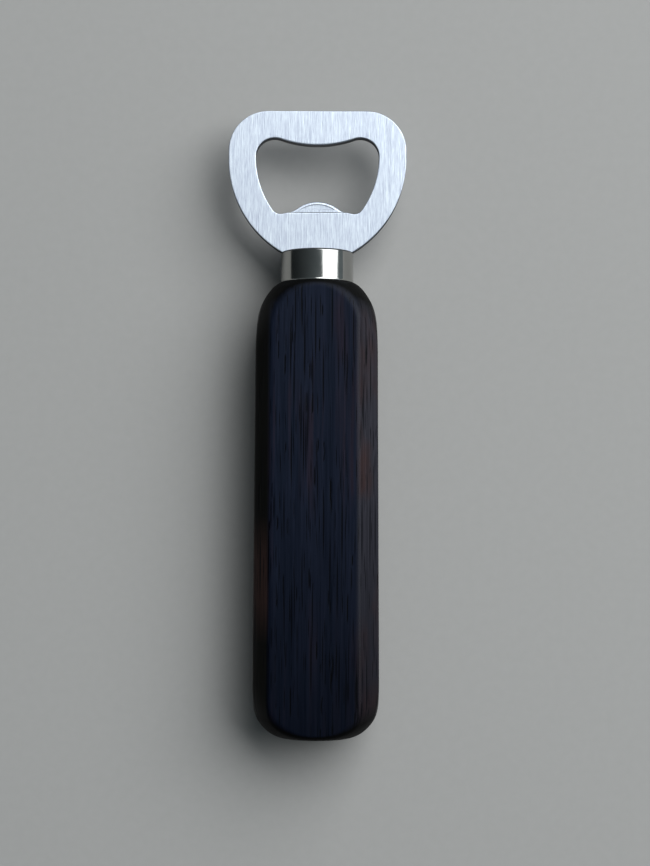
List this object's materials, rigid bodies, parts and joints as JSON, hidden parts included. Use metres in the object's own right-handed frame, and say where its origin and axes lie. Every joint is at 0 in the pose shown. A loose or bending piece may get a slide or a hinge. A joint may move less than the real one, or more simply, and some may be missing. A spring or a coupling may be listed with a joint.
{
  "type": "bottle opener",
  "caption": "Hand-held bottle opener: a stamped steel ring with a pressed lip, a polished collar and a dark wooden bar handle.",
  "frame": {"origin": "middle of the length and width, at the height of the handle's flat back that the opener lies on", "axes": "+Y along the handle towards the steel head, +X across it, +Z out of the front face, away from the surface it lies on"},
  "size_m": [0.04, 0.1404, 0.018],
  "materials": {
    "brushed_steel": "fine straight brushing along the length, clean",
    "nickel_plate": "polished, faintly warm",
    "dark_wood": "nearly black open-pored hardwood, waxed satin",
    "epoxy": "cured amber epoxy, hidden"
  },
  "bodies": {
    "root": {"opener_head": "brushed_steel", "ferrule": "nickel_plate", "wooden_handle": "dark_wood", "tang_adhesive": "epoxy"}
  },
  "joints": []
}
